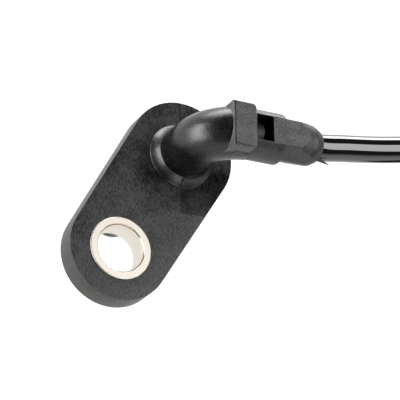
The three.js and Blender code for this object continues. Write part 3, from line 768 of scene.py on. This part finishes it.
# %% Strap of the coil
TIE_BEARING = math.radians(-150)
TIE_WIDTH = 3.6
strap = box((16.7, -TIE_WIDTH / 2, 0.05), (27.8, TIE_WIDTH / 2, 4 * CABLE + 0.1))
lengthwise = [e for e in strap.edges if abs(e.verts[0].co.y - e.verts[1].co.y) > 1]
bevelled(strap, lengthwise, 2.2, 6)
ends = [face for face in strap.faces if abs(face.normal.y) > 0.9]
bmesh.ops.delete(strap, geom=ends, context="FACES")
bmesh.ops.solidify(strap, geom=strap.faces[:], thickness=-0.8)
for vert in strap.verts:
    vert.co.z = max(vert.co.z, 0.0)
merge_into(strap, box((21.4, -2.5, 4 * CABLE + 0.3), (25.6, 2.5, 4 * CABLE + 3.0), 0.4, 3))
merge_into(strap, box((25.0, -1.5, 4 * CABLE + 1.2), (27.6, 1.5, 4 * CABLE + 2.1), 0.2, 2))
bmesh.ops.rotate(strap, verts=strap.verts, matrix=Matrix.Rotation(TIE_BEARING, 3, "Z"))
bmesh.ops.translate(strap, verts=strap.verts, vec=(COIL[0], COIL[1], 0))
strap = to_object(strap, "coil_strap", tie_nylon)
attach(strap, "root")
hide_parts("coil_tie")
print("strap faces", len(strap.data.polygons))

# %% [markdown]
# The other solids keep their CAD shape and get their finish here. Their slots are only
# overwritten, because the frame's own objects stay as they are.

# %% Finishes of the carried-over nodes
finishes = {
    "nose_seal": rubber, "sensing_insert": resin, "sensor_chip": resin, "bias_magnet": alloy,
    "filter_capacitor": ceramic, "core_sleeve": rubber, "chip_lead_a": tinned, "chip_lead_b": tinned,
    "splice_a": tinned, "splice_b": tinned, "core_a": blue_core, "core_b": brown_core,
    "plug_cap": pbt, "plug_housing": pbt, "plug_face_seal": silicone,
    "plug_core_a": blue_core, "plug_core_b": brown_core, "wire_seal_a": silicone,
    "wire_seal_b": silicone, "terminal_a": tinned, "terminal_b": tinned,
}
for name, material in finishes.items():
    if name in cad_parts:
        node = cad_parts[name]
        node.data.materials.clear()
        node.data.materials.append(material)
print("finished nodes", len(finishes))

# %% [markdown]

# %% [markdown]
# The picture has a white background with hardly a shadow. The floor is a pale plane that the
# camera sees almost white, and the world is white to the camera, pale round the horizon and dim
# overhead. One large soft lamp stands high over the cable's side and lights every face that looks
# up. A long low one on the left gives the elbow its sheen, one behind gives the cable its upper
# bright line, and a weak one in front opens the sides of the flange.

# %% Floor
floor_mesh = bmesh.new()
bmesh.ops.create_grid(floor_mesh, x_segments=1, y_segments=1, size=3000)
floor_material, shader = finish("matt_white_paper", "#f4f4f4", 0.9)
path = add_node(floor_material, "ShaderNodeLightPath")
seen = add_node(floor_material, "ShaderNodeMath", {"operation": "MAXIMUM"})
floor_material.node_tree.links.new(path.outputs["Is Camera Ray"], seen.inputs[0])
floor_material.node_tree.links.new(path.outputs["Is Glossy Ray"], seen.inputs[1])
share = add_node(floor_material, "ShaderNodeMath", {"operation": "MULTIPLY"})
floor_material.node_tree.links.new(seen.outputs[0], share.inputs[0])
share.inputs[1].default_value = 0.8
glow = add_node(floor_material, "ShaderNodeEmission", {"Strength": 1.25})
blend = add_node(floor_material, "ShaderNodeMixShader", Fac=share.outputs[0])
floor_material.node_tree.links.new(shader.outputs[0], blend.inputs[1])
floor_material.node_tree.links.new(glow.outputs[0], blend.inputs[2])
floor_material.node_tree.links.new(blend.outputs[0],
                                   floor_material.node_tree.nodes["Material Output"].inputs["Surface"])
floor = to_object(floor_mesh, "paper_floor", floor_material)
print("floor staged")

# %% World
world = bpy.data.worlds.new("studio")
bpy.context.scene.world = world
world.use_nodes = True
ROOF = 0.07
HORIZON = 1.2
place = add_node(world, "ShaderNodeTexCoord")
height = add_node(world, "ShaderNodeSeparateXYZ", Vector=place.outputs["Generated"])
walls = add_node(world, "ShaderNodeMapRange", {"From Min": 0.05, "From Max": 0.35, "To Min": HORIZON,
                                               "To Max": ROOF}, Value=height.outputs["Z"])
path = add_node(world, "ShaderNodeLightPath")
seen = add_node(world, "ShaderNodeMath", {"operation": "MAXIMUM"})
world.node_tree.links.new(path.outputs["Is Camera Ray"], seen.inputs[0])
world.node_tree.links.new(path.outputs["Is Transmission Ray"], seen.inputs[1])
level = add_node(world, "ShaderNodeMath", {"operation": "MAXIMUM"})
world.node_tree.links.new(seen.outputs[0], level.inputs[0])
world.node_tree.links.new(walls.outputs["Result"], level.inputs[1])
background = world.node_tree.nodes["Background"]
background.inputs["Color"].default_value = (1, 1, 1, 1)
world.node_tree.links.new(level.outputs[0], background.inputs["Strength"])
print(world.name)

# %% Lamps
def lamp(name, place, target, size, power):
    data = bpy.data.lights.new(name, "AREA")
    data.shape = "RECTANGLE"
    data.size, data.size_y = size
    data.energy = power
    piece = bpy.data.objects.new(name, data)
    piece.location = place
    piece.rotation_euler = (Vector(target) - Vector(place)).to_track_quat("-Z", "Y").to_euler()
    bpy.context.scene.collection.objects.link(piece)


def around(azimuth, elevation, distance):
    turn = math.radians(azimuth)
    rise = math.radians(elevation)
    flat = math.cos(rise)
    return Vector((math.cos(turn) * flat, math.sin(turn) * flat, math.sin(rise))) * distance


MIDDLE = Vector((0.005, 0, 0.035))
for name, azimuth, elevation, distance, size, radiance in (
    ("lamp_above", 0, 59, 0.6, (0.48, 0.45), 4.6),
    ("lamp_left", 180, 4, 0.35, (0.38, 0.12), 10.5),
    ("lamp_behind", 88, 6, 0.25, (0.3, 0.11), 9.0),
    ("lamp_front", -84, 18, 0.5, (0.25, 0.2), 3.0),
):
    power = radiance * math.pi * size[0] * size[1]
    lamp(name, MIDDLE + around(azimuth, elevation, distance), MIDDLE, size, power)
bpy.context.scene.view_settings.view_transform = "Standard"
print("stage ready")
